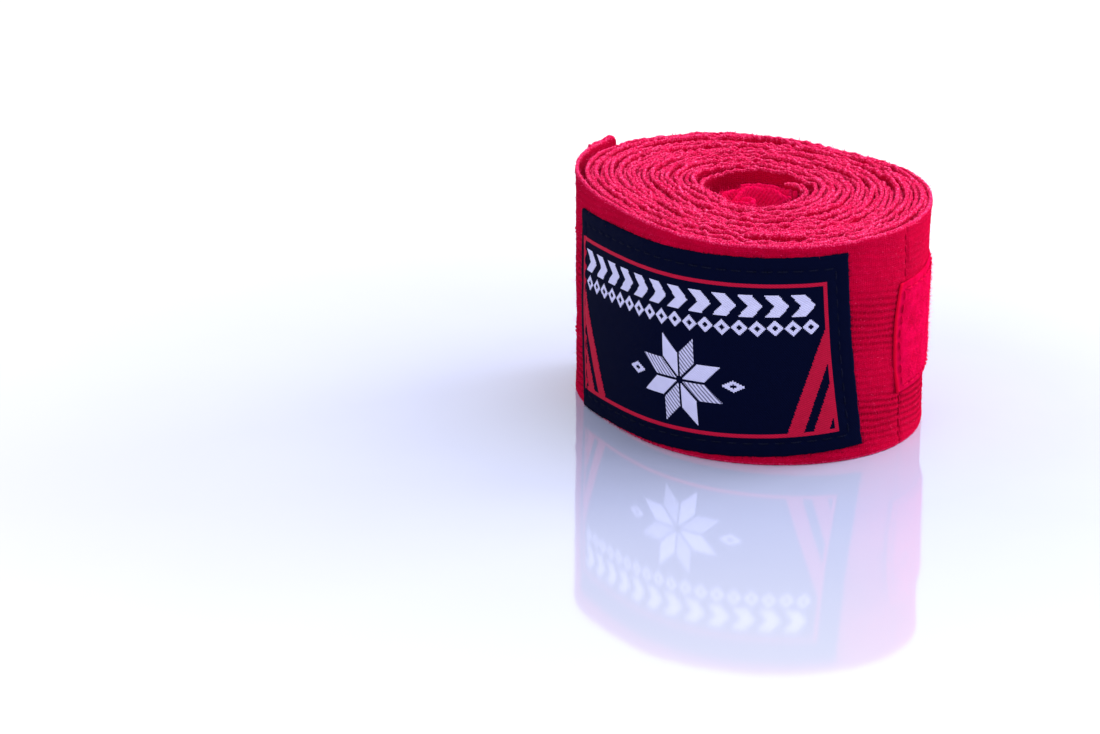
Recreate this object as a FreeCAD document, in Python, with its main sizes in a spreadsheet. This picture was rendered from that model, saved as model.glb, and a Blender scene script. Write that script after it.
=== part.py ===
"""Hand wrap: an elastic cotton strip wound on itself into an oval roll that stands on one selvedge.

The strip winds clockwise, seen from above, from its thumb loop in the core out to its free end.
The last part of the outer turn carries the woven label and the hook tape and can be peeled off the roll.
Frame: millimetres, +Z up along the roll's axis, origin on that axis at the lower selvedge, label facing -Y.
"""

import FreeCAD, Part
import math
import os

FULL_TURN = 360.0

# Driving dimensions, in millimetres and degrees. Each pair becomes a cell of the sheet and its alias.
# A bearing is measured about +Z from -Y, positive towards +X. The strip winds towards smaller bearings.
DIMENSIONS = [
    ("strip_base", 0.0),
    ("strip_width", 50.0),
    ("strip_thick", 0.8),
    ("wind_pitch", 1.035),
    ("core_radius", 12.4),
    ("wound_turns", 24.25),
    ("oval_share", 0.1026),
    ("oval_bearing", 66.3),
    ("skew_share", 0.0275),
    ("skew_bearing", 19.2),
    ("panel_hinge_bearing", 67.0),
    ("tab_hinge_bearing", -62.0),
    ("free_end_bearing", -107.0),
    ("hinge_slit", 0.6),
    ("flap_lift", 0.9),
    ("skin_gap", 0.06),
    ("label_arc", 118.0),
    ("label_height", 44.0),
    ("label_thick", 0.5),
    ("label_base", 2.5),
    ("tape_width", 25.0),
    ("loop_tape_thick", 1.2),
    ("loop_tape_start", 76.0),
    ("loop_tape_arc", 82.0),
    ("hook_tape_thick", 0.9),
    ("hook_tape_arc", 26.0),
    ("hook_tape_inset", 4.0),
    ("hem_length", 8.0),
    ("hem_thick", 0.7),
    ("hem_seam_share", 0.75),
    ("thread_radius", 0.16),
    ("stitch_length", 2.3),
    ("stitch_step", 3.2),
    ("stitch_inset", 2.6),
    ("loop_width", 20.0),
    ("loop_thick", 0.8),
    ("loop_bend_radius", 6.2),
    ("loop_half_gap", 1.5),
    ("loop_bend_angle", 230.0),
    ("loop_base", 25.5),
    ("loop_tail_length", 7.0),
    ("loop_tail_bearing", 138.0),
    ("loop_tack_rows", 4),
]

# How finely the spiral is drawn: interpolation points in a turn, fewest spans in a short piece of it,
# and the step in degrees that measures its direction.
POINTS_PER_TURN = 24
FEWEST_SPANS = 4
TANGENT_STEP = 0.01


def make_sheet(doc):
    """The spreadsheet that holds every driving dimension."""
    sheet = doc.addObject("Spreadsheet::Sheet", "Dimensions")
    for row, (alias, value) in enumerate(DIMENSIONS, start=1):
        sheet.set(f"A{row}", alias)
        sheet.set(f"B{row}", str(value))
        sheet.setAlias(f"B{row}", alias)
    doc.recompute()
    return sheet


doc = FreeCAD.newDocument("HandWrap")
sheet = make_sheet(doc)


def cell(alias):
    """A dimension, read back from the sheet."""
    return float(sheet.get(alias))


def bind(obj, expressions):
    """Ties properties of an object to expressions in the sheet's aliases."""
    for prop, expression in expressions.items():
        obj.setExpression(prop, expression)


# --- the winding -------------------------------------------------------------------------------

def unwound(bearing):
    """Winding angle at a bearing on the outermost turn, in degrees clockwise from the strip's start."""
    at_hinge = cell("wound_turns") * FULL_TURN
    return at_hinge + cell("panel_hinge_bearing") - bearing


def bearing_at(angle):
    """Bearing reached at a winding angle."""
    return cell("panel_hinge_bearing") + cell("wound_turns") * FULL_TURN - angle


def lift_at(angle):
    """How far the flap stands off the turn below it, to make room for the hook tape.

    It rises late along the label and levels off at the tab's hinge.
    """
    past_hinge = max(0.0, angle - unwound(cell("panel_hinge_bearing")))
    span = cell("panel_hinge_bearing") - cell("tab_hinge_bearing")
    share = min(1.0, past_hinge / span)
    return cell("flap_lift") * share ** 4 * (5 - 4 * share)


def out_of_round(bearing):
    """Radius at a bearing as a share of the round spiral's: an oval with a slight three-lobed skew."""
    oval = cell("oval_share") * math.cos(math.radians(2 * (bearing - cell("oval_bearing"))))
    skew = cell("skew_share") * math.cos(math.radians(3 * (bearing - cell("skew_bearing"))))
    return 1 + oval + skew


def strip_point(angle):
    """Centre of the strip's thickness at a winding angle, at the lower selvedge."""
    radius = cell("core_radius") + cell("wind_pitch") * angle / FULL_TURN + lift_at(angle)
    radius *= out_of_round(bearing_at(angle))
    bearing = math.radians(bearing_at(angle))
    return FreeCAD.Vector(radius * math.sin(bearing), -radius * math.cos(bearing), 0)


def strip_tangent(angle):
    """Unit vector along the strip, towards its free end."""
    tangent = strip_point(angle + TANGENT_STEP) - strip_point(angle - TANGENT_STEP)
    return tangent.normalize()


def outward(angle):
    """Unit vector out of the strip's outer face."""
    return strip_tangent(angle).cross(FreeCAD.Vector(0, 0, -1))


def winding_edges(start, end, offset):
    """Edges parallel to the strip's centre, one smooth edge for each turn or part of a turn."""
    turns = max(1, math.ceil((end - start) / FULL_TURN))
    edges = []
    for turn in range(turns):
        low = start + (end - start) * turn / turns
        high = start + (end - start) * (turn + 1) / turns
        count = max(FEWEST_SPANS, round(POINTS_PER_TURN * (high - low) / FULL_TURN))
        angles = [low + (high - low) * i / count for i in range(count + 1)]
        curve = Part.BSplineCurve()
        curve.interpolate(
            Points=[strip_point(angle) + outward(angle) * offset for angle in angles],
            InitialTangent=strip_tangent(low),
            FinalTangent=strip_tangent(high),
            Scale=False,
        )
        edges.append(curve.toShape())
    return edges


def band(label, start, end, inner, thick, base, height):
    """A ribbon that follows the winding. inner is its inner face's distance from the strip's centre.

    base and height are expressions in the sheet's aliases, for its lower edge and its width.
    """
    outside = winding_edges(start, end, inner + thick)
    inside = winding_edges(start, end, inner)
    cuts = [
        Part.makeLine(outside[0].valueAt(outside[0].FirstParameter),
                      inside[0].valueAt(inside[0].FirstParameter)),
        Part.makeLine(outside[-1].valueAt(outside[-1].LastParameter),
                      inside[-1].valueAt(inside[-1].LastParameter)),
    ]
    outline = doc.addObject("Part::Feature", label + "_outline")
    outline.Shape = Part.Face(Part.Wire(Part.__sortEdges__(outside + inside + cuts)))
    ribbon = doc.addObject("Part::Extrusion", label)
    ribbon.Base = outline
    ribbon.DirMode = "Custom"
    ribbon.Dir = FreeCAD.Vector(0, 0, 1)
    ribbon.Solid = True
    bind(ribbon, {"LengthFwd": height, ".Placement.Base.z": base})
    ribbon.Label = label
    return ribbon


def degrees_for(length, angle):
    """Winding angle that covers a length of strip near the given winding angle."""
    radius = strip_point(angle).Length
    return math.degrees(length / radius)


# --- stitches ----------------------------------------------------------------------------------

def thread(centre, along):
    """One visible stitch: a short thread lying along a direction."""
    start = centre - along * (cell("stitch_length") / 2)
    return Part.makeCylinder(cell("thread_radius"), cell("stitch_length"), start, along)


def seam_along(start, end, height, face):
    """Stitches that run with the strip, at one height, on a face at that distance from its centre."""
    stitches = []
    count = round((end - start) / degrees_for(cell("stitch_step"), (start + end) / 2))
    for i in range(count):
        angle = start + (end - start) * (i + 0.5) / count
        centre = strip_point(angle) + outward(angle) * face + FreeCAD.Vector(0, 0, height)
        stitches.append(thread(centre, strip_tangent(angle)))
    return stitches


def seam_across(angle, low, high, face):
    """Stitches that run across the strip, at one winding angle."""
    stitches = []
    count = round((high - low) / cell("stitch_step"))
    for i in range(count):
        height = low + (high - low) * (i + 0.5) / count
        centre = strip_point(angle) + outward(angle) * face + FreeCAD.Vector(0, 0, height)
        stitches.append(thread(centre, FreeCAD.Vector(0, 0, 1)))
    return stitches


def seam_box(start, end, low, high, face):
    """Stitches round a rectangle on the strip."""
    corner = degrees_for(cell("stitch_step") / 2, start)
    level = cell("stitch_step") / 2
    sides = seam_along(start + corner, end - corner, low, face)
    sides += seam_along(start + corner, end - corner, high, face)
    sides += seam_across(start, low + level, high - level, face)
    sides += seam_across(end, low + level, high - level, face)
    return sides


def group(label, solids):
    """Separate solids kept together in one node."""
    node = doc.addObject("Part::Feature", label)
    node.Shape = Part.makeCompound(solids)
    node.Label = label
    return node


TAPE_BASE = "(Dimensions.strip_width - Dimensions.tape_width) / 2"


# --- the pieces --------------------------------------------------------------------------------

def strip_pieces():
    """The strip itself: the wound turns, the panel under the label and the tab at the free end."""
    hinge = unwound(cell("panel_hinge_bearing"))
    fold = unwound(cell("tab_hinge_bearing"))
    free = unwound(cell("free_end_bearing"))
    slit = degrees_for(cell("hinge_slit") / 2, hinge)
    thick = cell("strip_thick")
    sizes = (-thick / 2, thick, "Dimensions.strip_base", "Dimensions.strip_width")
    return [
        band("wound_strip", 0.0, hinge - slit, *sizes),
        band("label_panel", hinge + slit, fold - slit, *sizes),
        band("end_tab", fold + slit, free, *sizes),
    ]


def label_pieces():
    """The woven label and the lockstitch that holds it to the strip."""
    middle = unwound(0.0)
    half = cell("label_arc") / 2
    inner = cell("strip_thick") / 2 + cell("skin_gap")
    patch = band(
        "label_patch", middle - half, middle + half, inner, cell("label_thick"),
        "Dimensions.label_base", "Dimensions.label_height",
    )
    inset = cell("stitch_inset")
    turn_inset = degrees_for(inset, middle)
    face = inner + cell("label_thick") + cell("skin_gap") + cell("thread_radius")
    low = cell("label_base") + inset
    high = cell("label_base") + cell("label_height") - inset
    start, end = middle - half + turn_inset, middle + half - turn_inset
    return [patch, group("label_stitching", seam_box(start, end, low, high, face))]


def loop_tape_pieces():
    """The soft loop tape on the strip's outer face, its stitching and the seam across the strip."""
    end = unwound(cell("loop_tape_start"))
    start = end - cell("loop_tape_arc")
    inner = cell("strip_thick") / 2 + cell("skin_gap")
    base = (cell("strip_width") - cell("tape_width")) / 2
    tape = band(
        "loop_tape", start, end, inner, cell("loop_tape_thick"),
        TAPE_BASE, "Dimensions.tape_width",
    )
    inset = cell("stitch_inset") / 2
    turn_inset = degrees_for(inset, end)
    face = inner + cell("loop_tape_thick") + cell("skin_gap") + cell("thread_radius")
    top = base + cell("tape_width")
    box = seam_box(start + turn_inset, end - turn_inset, base + inset, top - inset, face)
    on_strip = inner + cell("thread_radius")
    seam = end - 2 * turn_inset
    below = seam_across(seam, inset, base - inset, on_strip)
    above = seam_across(seam, top + inset, cell("strip_width") - inset, on_strip)
    return [tape, group("loop_tape_stitching", box), group("cross_seam_stitching", below + above)]


def hook_tape_pieces():
    """The hook tape on the free end's inner face, with its stitching, which shows on the outer face."""
    start = unwound(cell("tab_hinge_bearing")) + cell("hook_tape_inset")
    end = start + cell("hook_tape_arc")
    inner = -cell("strip_thick") / 2 - cell("skin_gap") - cell("hook_tape_thick")
    base = (cell("strip_width") - cell("tape_width")) / 2
    tape = band(
        "hook_tape", start, end, inner, cell("hook_tape_thick"),
        TAPE_BASE, "Dimensions.tape_width",
    )
    inset = cell("stitch_inset") / 2
    turn_inset = degrees_for(inset, end)
    face = cell("strip_thick") / 2 + cell("skin_gap") + cell("thread_radius")
    top = base + cell("tape_width")
    box = seam_box(start + turn_inset, end - turn_inset, base + inset, top - inset, face)
    return [tape, group("hook_tape_stitching", box)]


def hem_pieces():
    """The fabric folded back at each end of the strip, and the stitching that holds the outer fold."""
    free = unwound(cell("free_end_bearing"))
    outer_arc = degrees_for(cell("hem_length"), free)
    inner_arc = degrees_for(cell("hem_length"), 0.0)
    on_outside = cell("strip_thick") / 2 + cell("skin_gap")
    in_core = -cell("strip_thick") / 2 - cell("skin_gap") - cell("hem_thick")
    sizes = (cell("hem_thick"), "Dimensions.strip_base", "Dimensions.strip_width")
    face = on_outside + cell("hem_thick") + cell("skin_gap") + cell("thread_radius")
    edge = cell("stitch_inset") / 2
    seam_angle = free - cell("hem_seam_share") * outer_arc
    seam = seam_across(seam_angle, edge, cell("strip_width") - edge, face)
    return [
        band("end_hem", free - outer_arc, free, on_outside, *sizes),
        group("end_hem_stitching", seam),
        band("core_hem", 0.0, inner_arc, in_core, *sizes),
    ]


def add_arc(sketch, centre, radius, low, high):
    """Adds an arc to a sketch, with its angles in degrees."""
    circle = Part.Circle(centre, FreeCAD.Vector(0, 0, 1), radius)
    arc = Part.ArcOfCircle(circle, math.radians(low), math.radians(high))
    return sketch.addGeometry(arc, False)


def bent_slot(sketch, swell):
    """Draws a slot bent round the sketch's origin, grown by swell on every side."""
    bend = cell("loop_bend_radius")
    gap = cell("loop_half_gap") + swell
    angle = cell("loop_bend_angle")
    origin = FreeCAD.Vector(0, 0, 0)
    tip = math.radians(angle)
    far = FreeCAD.Vector(bend * math.cos(tip), bend * math.sin(tip), 0)
    add_arc(sketch, origin, bend + gap, 0, angle)
    add_arc(sketch, far, gap, angle, angle + 180)
    add_arc(sketch, origin, bend - gap, 0, angle)
    add_arc(sketch, FreeCAD.Vector(bend, 0, 0), gap, 180, 360)


def thumb_loop_pieces():
    """The thumb loop: webbing folded on itself, curled up in the core, with its tail and bar tack."""
    turn = FreeCAD.Rotation(FreeCAD.Vector(0, 0, 1), cell("loop_tail_bearing") - 90)
    curl = FreeCAD.Placement(FreeCAD.Vector(0, 0, cell("loop_base")), turn)
    stands_at = {".Placement.Base.z": "Dimensions.loop_base"}

    body = doc.addObject("PartDesign::Body", "ThumbLoop")
    body.Label = "thumb_loop"
    sketch = body.newObject("Sketcher::SketchObject", "LoopOutline")
    plane = next(f for f in body.Origin.OriginFeatures if f.Role == "XY_Plane")
    sketch.AttachmentSupport = [(plane, "")]
    sketch.MapMode = "FlatFace"
    bent_slot(sketch, cell("loop_thick") / 2)
    bent_slot(sketch, -cell("loop_thick") / 2)
    pad = body.newObject("PartDesign::Pad", "LoopBand")
    pad.Profile = sketch
    bind(pad, {"Length": "Dimensions.loop_width"})
    body.Tip = pad
    body.Placement = curl
    bind(body, stands_at)

    reach = cell("loop_bend_radius") + cell("loop_half_gap") + cell("loop_thick") / 2
    tail = doc.addObject("Part::Box", "thumb_loop_tail")
    tail.Label = "thumb_loop_tail"
    bind(tail, {
        "Length": "Dimensions.loop_thick",
        "Width": "Dimensions.loop_tail_length",
        "Height": "Dimensions.loop_width",
    })
    corner = FreeCAD.Vector(reach + cell("skin_gap"), -cell("loop_tail_length") / 2, 0)
    tail.Placement = curl.multiply(FreeCAD.Placement(corner, FreeCAD.Rotation()))
    bind(tail, stands_at)

    face = reach + 2 * cell("skin_gap") + cell("loop_thick") + cell("thread_radius")
    rows = int(cell("loop_tack_rows"))
    tack = []
    for row in range(rows):
        height = cell("loop_width") * (row + 0.5) / rows
        tack.append(thread(FreeCAD.Vector(face, 0, height), FreeCAD.Vector(0, 1, 0)))
    stitching = group("thumb_loop_stitching", tack)
    stitching.Placement = curl
    return [body, tail, stitching]


def check(nodes):
    """Stops the build if any object failed or any piece isn't a valid solid."""
    for obj in doc.Objects:
        if "Invalid" in obj.State or "Error" in obj.State:
            raise RuntimeError(f"{obj.Label} failed: {obj.State}")
    for node in nodes:
        if node.Shape.isNull() or not node.Shape.isValid() or not node.Shape.Solids:
            raise RuntimeError(f"{node.Label} has no valid solid")


def main():
    nodes = strip_pieces()
    nodes += label_pieces()
    nodes += loop_tape_pieces()
    nodes += hook_tape_pieces()
    nodes += hem_pieces()
    nodes += thumb_loop_pieces()
    doc.recompute()
    check(nodes)
    os.makedirs("parts", exist_ok=True)
    for node in nodes:
        node.Shape.exportStep(os.path.join("parts", node.Label + ".step"))


main()
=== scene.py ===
"""Looks of a rolled elastic cotton hand wrap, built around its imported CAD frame.

Lengths are millimetres until a mesh is made, which is in metres. The cloth follows the same winding as the
CAD part: a winding angle grows clockwise, seen from above, from the core to the free end, and a bearing is
measured about +Z from -Y, positive towards +X. A place on the strip is a length of strip wound so far and a
height above the lower selvedge.
"""

import math

import bpy
import numpy as np
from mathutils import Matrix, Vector


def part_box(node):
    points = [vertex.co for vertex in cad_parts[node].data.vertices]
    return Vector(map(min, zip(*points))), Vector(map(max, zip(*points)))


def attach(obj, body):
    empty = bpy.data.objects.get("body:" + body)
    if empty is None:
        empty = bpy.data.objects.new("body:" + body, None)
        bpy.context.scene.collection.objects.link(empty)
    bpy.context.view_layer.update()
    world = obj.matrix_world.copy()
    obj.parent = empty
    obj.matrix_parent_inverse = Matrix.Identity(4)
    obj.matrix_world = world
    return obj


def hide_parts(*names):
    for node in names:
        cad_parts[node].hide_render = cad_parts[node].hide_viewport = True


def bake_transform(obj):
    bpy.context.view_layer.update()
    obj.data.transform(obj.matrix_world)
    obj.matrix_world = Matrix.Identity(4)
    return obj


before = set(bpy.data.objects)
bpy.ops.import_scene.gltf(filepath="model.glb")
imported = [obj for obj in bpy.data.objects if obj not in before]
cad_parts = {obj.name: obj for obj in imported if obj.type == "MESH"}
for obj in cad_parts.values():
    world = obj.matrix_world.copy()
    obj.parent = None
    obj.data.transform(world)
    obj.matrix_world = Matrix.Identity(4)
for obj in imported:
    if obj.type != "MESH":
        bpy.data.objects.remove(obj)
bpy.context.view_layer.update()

MM = 0.001
FULL_TURN = 360.0
HALF_TURN = 180.0

# --- the winding, as in the CAD part ---
TURNS = 24.25
PITCH = 1.035
CORE_RADIUS = 12.4
STRIP_WIDTH = 50.0
HALF_THICK = 0.4
OVAL_SHARE, OVAL_BEARING = 0.1026, 66.3
SKEW_SHARE, SKEW_BEARING = 0.0275, 19.2
PANEL_BEARING = 67.0
TAB_BEARING = -62.0
FREE_BEARING = -107.0
FLAP_LIFT = 0.9

# --- where pieces of cloth meet and bend, as bearings ---
SEAM_BEARING = 80.0
LABEL_SPLIT_BEARING = -48.0
PANEL_BEND = (74.0, 60.5)
TAB_BEND = (-60.5, -70.0)
TAPE_MIDDLE = 120.0

# --- how the cloth drapes beyond the CAD solid ---
VIEW_BEARING = 32.0
RIM_TILT = 0.068
CORNER_RADIUS = 0.9
CORNER_PEAK = 0.7
CORNER_FLARE = 1.2
TAB_FLARE = 0.5
HALF_HEIGHT = STRIP_WIDTH / 2


# --- seeded noise ---

def smooth(x):
    """Rises smoothly from 0 to 1 as x goes from 0 to 1."""
    x = np.clip(x, 0, 1)
    return x * x * (3 - 2 * x)


def wander(x, step, seed):
    """A smooth random curve between -1 and 1 that turns about once in each step."""
    knots = np.random.default_rng(seed).uniform(-1, 1, 8192)
    x = np.asarray(x, float) / step
    low = np.floor(x).astype(int)
    share = smooth(x - low)
    return knots[low % 8192] * (1 - share) + knots[(low + 1) % 8192] * share


def mottle(x, y, step_x, step_y, seed):
    """A smooth random surface between -1 and 1."""
    size = 512
    knots = np.random.default_rng(seed).uniform(-1, 1, (size, size))
    x = np.asarray(x, float) / step_x
    y = np.asarray(y, float) / step_y
    i, j = np.floor(x).astype(int), np.floor(y).astype(int)
    right, up = smooth(x - i), smooth(y - j)
    low = knots[i % size, j % size] * (1 - right) + knots[(i + 1) % size, j % size] * right
    high = knots[i % size, (j + 1) % size] * (1 - right) + knots[(i + 1) % size, (j + 1) % size] * right
    return low * (1 - up) + high * up


# --- the strip's path ---

def unwound(bearing):
    """Winding angle at a bearing on the outermost turn."""
    return TURNS * FULL_TURN + PANEL_BEARING - bearing


def bearing_at(angle):
    """Bearing reached at a winding angle."""
    return PANEL_BEARING + TURNS * FULL_TURN - angle


def centre_line(angle):
    """Plan position of the strip's centre at each winding angle."""
    bearing = bearing_at(angle)
    share = np.clip((angle - TURNS * FULL_TURN) / (PANEL_BEARING - TAB_BEARING), 0, 1)
    radius = CORE_RADIUS + PITCH * angle / FULL_TURN + FLAP_LIFT * share ** 4 * (5 - 4 * share)
    oval = OVAL_SHARE * np.cos(np.radians(2 * (bearing - OVAL_BEARING)))
    skew = SKEW_SHARE * np.cos(np.radians(3 * (bearing - SKEW_BEARING)))
    radius = radius * (1 + oval + skew)
    turn = np.radians(bearing)
    return np.stack([radius * np.sin(turn), -radius * np.cos(turn)], -1)


def outward(angle):
    """Unit vector out of the strip's outer face at each winding angle."""
    step = 0.02
    along = centre_line(angle + step) - centre_line(angle - step)
    along /= np.linalg.norm(along, axis=-1, keepdims=True)
    return np.stack([-along[..., 1], along[..., 0]], -1)


ANGLES = np.arange(0.0, TURNS * FULL_TURN + 181.0, 0.5)
SPANS = np.linalg.norm(np.diff(centre_line(ANGLES), axis=0), axis=1)
LENGTHS = np.concatenate([[0.0], np.cumsum(SPANS)])


def length_at(angle):
    """Length of strip wound by a winding angle."""
    return np.interp(angle, ANGLES, LENGTHS)


def angle_at(length):
    """Winding angle at a length of strip."""
    return np.interp(length, LENGTHS, ANGLES)


def strip_length(bearing):
    """Length of strip at a bearing on the outermost turn."""
    return float(length_at(unwound(bearing)))


BACK = np.array([-math.sin(math.radians(VIEW_BEARING)), math.cos(math.radians(VIEW_BEARING))])
FREE_LENGTH = strip_length(FREE_BEARING)
FRONT_LENGTH = strip_length(0.0)


def drape(angle, height):
    """How far the cloth stands outward of the winding: slow waves, a loose core and the flared free end."""
    bearing = np.radians(bearing_at(angle))
    turn = angle / FULL_TURN
    top = np.clip(height / STRIP_WIDTH, 0, 1)
    wave = 0.22 * np.sin(3 * bearing + 0.9) + 0.15 * np.sin(5 * bearing + 2.1)
    crush = 0.30 * mottle(bearing * 12, turn * 4, 3.1, 9, 41) * smooth(turn / 3) * smooth((23.6 - turn) / 2)
    lean = -(2.4 + 1.4 * wander(angle, 38, 42)) * np.exp(-turn / 0.9) * top ** 4
    from_tape = (bearing_at(angle) - TAPE_MIDDLE + HALF_TURN) % FULL_TURN - HALF_TURN
    press = -0.8 * np.exp(-(from_tape / 34.0) ** 2) * turn / TURNS * (1 - top ** 3)
    tab = smooth((angle - unwound(TAB_BEARING)) / (TAB_BEARING - FREE_BEARING))
    return wave + crush + lean + press + tab * (TAB_FLARE + CORNER_FLARE * top ** 3)


def on_strip(length, offset, height):
    """Points from a length of strip, a distance outward of the strip's centre and a height."""
    length, offset, height = np.broadcast_arrays(np.asarray(length, float), offset, height)
    angle = angle_at(length)
    plan = centre_line(angle) + outward(angle) * (offset + drape(angle, height))[..., None]
    z = height + RIM_TILT * (plan @ BACK) * height / STRIP_WIDTH
    return np.concatenate([plan, z[..., None]], -1)


# --- the label's own coordinates ---
LABEL_HALF_P, LABEL_HALF_Q = 38.4, 22.2
LABEL_RIGHT, LABEL_MIDDLE = 2.3, 24.0
LABEL_SLOPE, LABEL_SHEAR, LABEL_BULGE = 0.042, 0.112, 0.025


def label_lean(p, q):
    """How far the label's vertical threads lean to the left, which is most at its right edge."""
    share = (p + LABEL_HALF_P) / (2 * LABEL_HALF_P)
    right = LABEL_SHEAR * q + 0.8 * (1 - (q / LABEL_HALF_Q) ** 2)
    left = 0.03 * q + 1.2 * (1 - (q / LABEL_HALF_Q) ** 2)
    return share * right + (1 - share) ** 2 * left


def label_place(p, q):
    """Length of strip and height at a place on the label, p to the right of its middle and q above it."""
    bulge = 1 + LABEL_BULGE * (1 - (p / LABEL_HALF_P) ** 2)
    return FRONT_LENGTH - LABEL_RIGHT - p + label_lean(p, q), LABEL_MIDDLE + LABEL_SLOPE * p + q * bulge


def label_cover(length, height):
    """1 under the label, falling to 0 outside it."""
    p = FRONT_LENGTH - length - LABEL_RIGHT
    q = height - LABEL_MIDDLE - LABEL_SLOPE * p
    p = p + label_lean(p, q)
    return smooth(LABEL_HALF_P - np.abs(p) + 0.3) * smooth(LABEL_HALF_Q - np.abs(q) + 0.3)


# --- the loop tape's outline ---
TAPE_HALF = 12.5
TAPE_NEAR, TAPE_FAR = strip_length(74.4), strip_length(158.0)
TAPE_BOW = 1.8


def tape_end(height):
    """Length of strip at the tape's near end, which is cut in a shallow curve."""
    return TAPE_NEAR - TAPE_BOW * ((height - HALF_HEIGHT) / TAPE_HALF) ** 2


def tape_cover(length, height):
    """1 under the loop tape, falling to 0 outside it."""
    across = smooth(TAPE_HALF - np.abs(height - HALF_HEIGHT) + 0.3)
    return across * smooth(tape_end(height) - length + 0.3) * smooth(length - TAPE_FAR + 0.3)


# --- cloth relief ---
RIB_STEP = 1.45
RIB_DEPTH = 0.22
RIB_SWAY = 3.2
PICK_STEP = 0.95
SEAM_LENGTH = strip_length(SEAM_BEARING)


def rib_grooves(length, height):
    """Dotted grooves between the ribs, 0 to 1, which set both their depth and the painted shade in them.
    They sway up and down and are strongest in two bands.
    """
    strong = np.exp(-((height - 30) / 6.5) ** 4) + np.exp(-((height - 8.0) / 5.5) ** 4)
    sway = -RIB_SWAY * np.sin((length - SEAM_LENGTH - 13.0) / 21.0)
    drift = 0.35 * mottle(length, height, 11, 6, 11) + 0.14 * mottle(length, height, 2.4, 1.6, 12)
    phase = (height + sway + drift) / RIB_STEP
    line = (0.5 + 0.5 * np.cos(2 * np.pi * phase)) ** 1.4
    pick = length / PICK_STEP + 0.5 * np.floor(phase + 0.5) + 0.5 * mottle(length, height, 3.0, 1.4, 17)
    dots = 0.68 + 0.32 * np.cos(2 * np.pi * pick)
    patchy = 0.95 + 0.35 * mottle(length, height, 14, 6, 13)
    return np.clip(line * dots * patchy * (0.28 + 0.82 * np.clip(strong, 0, 1)), 0, 1)


def plain_surface(length, height):
    """Relief of the cloth's face and the depth of its grooves, which the material also darkens with painted
    shade.
    """
    edge = np.minimum(height, STRIP_WIDTH - height)
    groove = rib_grooves(length, height) * smooth(edge / 2.5)
    bead = 0.10 * np.exp(-((edge - 1.1) / 0.6) ** 2)
    pucker = 0.12 * mottle(length, height, 12, 9, 14) + 0.05 * mottle(length, height, 1.7, 1.3, 15)
    yarn = 0.05 * mottle(length, height, 0.8, 0.6, 16)
    return bead + pucker * smooth(edge / 2) + yarn - RIB_DEPTH * groove, groove


def under_label_or_tape(length, height):
    """1 where the label or the loop tape covers the cloth."""
    return np.maximum(label_cover(length, height), tape_cover(length, height))


def outer_surface(length, height):
    """The cloth of the outer turn: drawn in along the seam, and flat under the label and the tape."""
    face, groove = plain_surface(length, height)
    from_seam = length - SEAM_LENGTH - 0.6 * np.sin(height / 7.0)
    crease = np.exp(-(from_seam / 0.55) ** 2)
    ruck = 0.16 * np.exp(-np.abs(from_seam) / 4.0) * np.sin(height / 1.3 + 0.3 * from_seam)
    face = face - 0.24 * crease + ruck * smooth(np.abs(from_seam))
    cover = under_label_or_tape(length, height)
    # Grooves and the seam's crease carry painted shade into the colour.
    return face * (1 - cover) - 0.10 * cover, np.clip(groove + 0.15 * crease, 0, 1)


def selvedge_only(length, height):
    """Relief of a hidden turn, which swells and twists at its selvedges."""
    edge = np.minimum(height, STRIP_WIDTH - height)
    swell = 0.17 + 0.10 * wander(length, 0.8, 31) + 0.06 * mottle(length, height, 1.3, 0.7, 32)
    return swell * np.exp(-edge / 3.0), np.zeros_like(height)


def selvedge_lift(length):
    """Uneven top selvedges: ridges that come every few turns, slow waves and small yarn loops."""
    angle = angle_at(length)
    turn = angle / FULL_TURN
    bearing = bearing_at(angle)
    ridge = 0.50 * np.cos(2 * np.pi * turn / 2.45 + 1.5 * wander(bearing % FULL_TURN, 60, 21))
    slow = 0.38 * wander(length, 15, 22) + 0.22 * wander(length, 4.2, 23)
    calm = 1 - 0.6 * smooth((turn - (TURNS - 1.2)) / 1.0)
    loops = (0.24 * wander(length, 1.0, 24) + 0.26 * wander(length, 0.75, 25)) * calm
    sink = -0.9 * smooth((1.5 - turn) / 1.5)
    to_corner = np.clip(FREE_LENGTH - length, 0, CORNER_RADIUS)
    corner = np.sqrt(CORNER_RADIUS ** 2 - (CORNER_RADIUS - to_corner) ** 2) - CORNER_RADIUS
    peak = CORNER_PEAK * np.exp(-np.clip(FREE_LENGTH - length, 0, None) / 4.0)
    return (ridge + slow) * calm + loops + sink + corner + peak


# --- mesh building ---

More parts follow.
